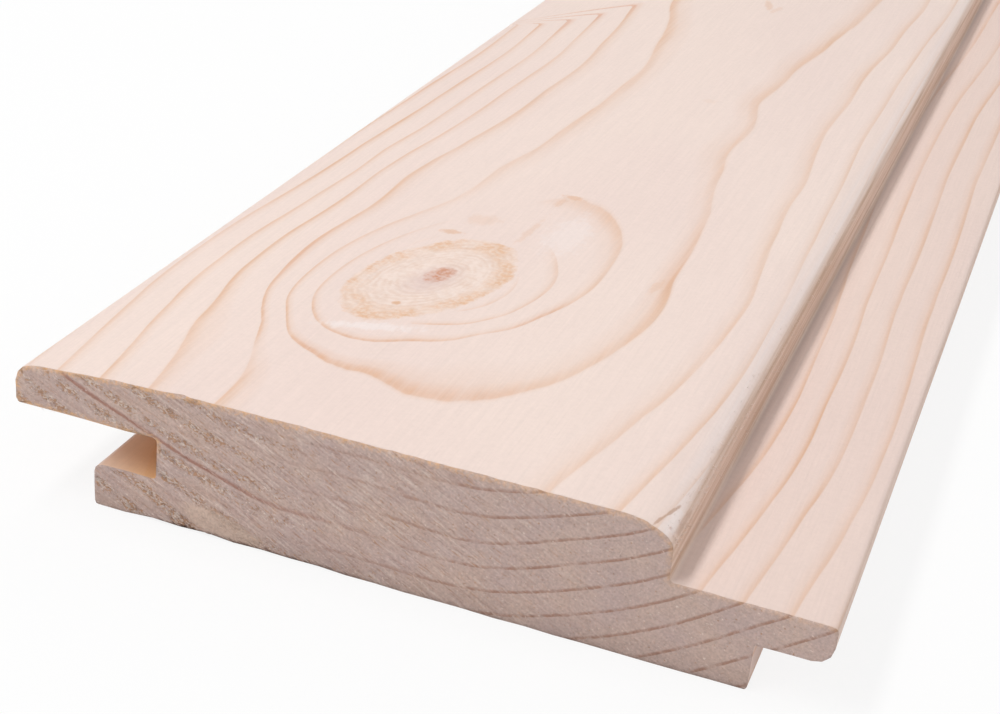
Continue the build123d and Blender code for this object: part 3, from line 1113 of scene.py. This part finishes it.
    # it is darker close to the floor, and in the grain
    shade = ramp(maths("MULTIPLY", atZ, 300.0), [(0.0, 0.87), (1.0, 1.0)])
    shade = maths("MULTIPLY", shade, maths("MULTIPLY_ADD", grain, 0.5, 0.63))
    wood = mixColour(1.0, wood, shade, "MULTIPLY")
    link(wood, shader.inputs["Base Color"])
    shader.inputs["Roughness"].default_value = look["roughness"]
    shader.inputs["Specular IOR Level"].default_value = 0.15
    bump = node("ShaderNodeBump")
    bump.inputs["Strength"].default_value = 0.6
    bump.inputs["Distance"].default_value = 0.0002
    relief = maths("MULTIPLY_ADD", strokes, 0.9, maths("MULTIPLY", grain, 0.8))
    relief = maths("MULTIPLY_ADD", pits, -0.5, relief)
    link(relief, bump.inputs["Height"])
    link(bump.outputs[0], shader.inputs["Normal"])
    return material


board.data.materials.append(makePlaned())
board.data.materials.append(makeSawn())
which = np.concatenate([np.zeros(sideCount), np.ones(len(caps))]).astype(np.int32)
board.data.polygons.foreach_set("material_index", which)
board.data.update()
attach(board, "root")
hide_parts("panelling_board")
print("materials made")

# Camera: its place is measured from the near end of the board, in millimetres.
view = {
    "place": (56.62, -148.27, 107.05),
    "right": (0.93408525, 0.34615944, 0.08751225),
    "down": (0.22919268, -0.39336954, -0.89035449),
    "lens": 66.16,
}


def makeCamera():
    right = Vector(view["right"]).normalized()
    up = -Vector(view["down"]).normalized()
    back = right.cross(up)
    camera = bpy.data.objects.new("camera", bpy.data.cameras.new("camera"))
    camera.data.lens = view["lens"]
    camera.data.sensor_width = 36.0
    camera.data.clip_start = 0.005
    x, y, z = (value * mm for value in view["place"])
    turn = Matrix((right, up, back)).transposed().to_4x4()
    camera.matrix_world = Matrix.Translation((x, low.y + y, low.z + z)) @ turn
    bpy.context.scene.collection.objects.link(camera)
    bpy.context.scene.camera = camera


light = {
    "suns": [
        {"name": "key", "strength": 0.2, "from": (-0.45, -0.5, 0.74), "angle": 20.0},
        {"name": "rear", "strength": 0.4, "from": (0.35, 0.85, 0.42), "angle": 35.0},
        {"name": "side", "strength": 0.3, "from": (0.85, -0.3, 0.43), "angle": 40.0},
    ],
    "lamps": [
        {"name": "near", "power": 1.15, "place": (-240.0, -60.0, 560.0),
         "width": 0.1, "length": 0.5},
        {"name": "long", "power": 2.2, "place": (-240.0, 700.0, 560.0),
         "width": 0.1, "length": 3.0},
    ],
    "sky": 0.42,
    "floor": tone(250, 250, 250),
    "floorLift": 0.85,  # how far the floor is lifted to white where the camera sees it
}


def mixShaders(tree, share, first, second, output):
    # The second shader over the first by the share, to the output.
    mix = tree.nodes.new("ShaderNodeMixShader")
    for slot, socket in enumerate((share, first.outputs[0], second.outputs[0])):
        tree.links.new(socket, mix.inputs[slot])
    tree.links.new(mix.outputs[0], tree.nodes.new(output).inputs[0])


def makeLights():
    for values in light["suns"]:
        sun = bpy.data.objects.new(values["name"], bpy.data.lights.new(values["name"], "SUN"))
        sun.data.energy = values["strength"]
        sun.data.angle = np.radians(values["angle"])
        sun.rotation_euler = Vector(values["from"]).to_track_quat("Z", "Y").to_euler()
        bpy.context.scene.collection.objects.link(sun)
    for values in light["lamps"]:
        lamp = bpy.data.objects.new(values["name"], bpy.data.lights.new(values["name"], "AREA"))
        lamp.data.energy = values["power"]
        lamp.data.shape = "RECTANGLE"
        lamp.data.size = values["length"]
        lamp.data.size_y = values["width"]
        x, y, z = (value * mm for value in values["place"])
        lamp.location = (x, low.y + y, low.z + z)
        lamp.rotation_euler = Vector((x, 0, z)).to_track_quat("Z", "Y").to_euler()
        bpy.context.scene.collection.objects.link(lamp)
    world = bpy.data.worlds.new("studio")
    bpy.context.scene.world = world
    world.use_nodes = True
    tree = world.node_tree
    tree.nodes.clear()
    node, _, maths, *_ = nodeTools(tree)
    path = node("ShaderNodeLightPath").outputs
    seen = maths("MAXIMUM", path["Is Camera Ray"], path["Is Transmission Ray"])
    sky = node("ShaderNodeBackground", in_0=(1, 1, 1, 1), in_1=light["sky"])
    white = node("ShaderNodeBackground", in_0=(1, 1, 1, 1), in_1=1.0)
    mixShaders(tree, seen, sky, white, "ShaderNodeOutputWorld")


def makeFloor():
    # A wide pale floor. Seen by the camera it is lifted to white, and the shadow stays on it.
    half = 20.0
    level = low.z - 0.00005  # a hair below the back, so that the two don't lie in one plane
    sides = ((-half, -half), (half, -half), (half, half), (-half, half))
    mesh = bpy.data.meshes.new("floor")
    mesh.from_pydata([(x, y, level) for x, y in sides], [], [(0, 1, 2, 3)])
    floor = bpy.data.objects.new("floor", mesh)
    bpy.context.scene.collection.objects.link(floor)
    material = bpy.data.materials.new("paleFloor")
    material.use_nodes = True
    tree = material.node_tree
    tree.nodes.clear()
    node, _, maths, *_ = nodeTools(tree)
    seen = node("ShaderNodeLightPath").outputs["Is Camera Ray"]
    seen = maths("MULTIPLY", seen, light["floorLift"])
    plain = node("ShaderNodeBsdfDiffuse", in_0=light["floor"])
    white = node("ShaderNodeEmission")
    mixShaders(tree, seen, plain, white, "ShaderNodeOutputMaterial")
    mesh.materials.append(material)


makeCamera()
makeLights()
makeFloor()
bpy.context.scene.view_settings.view_transform = "Standard"
print("camera, lights and floor made")
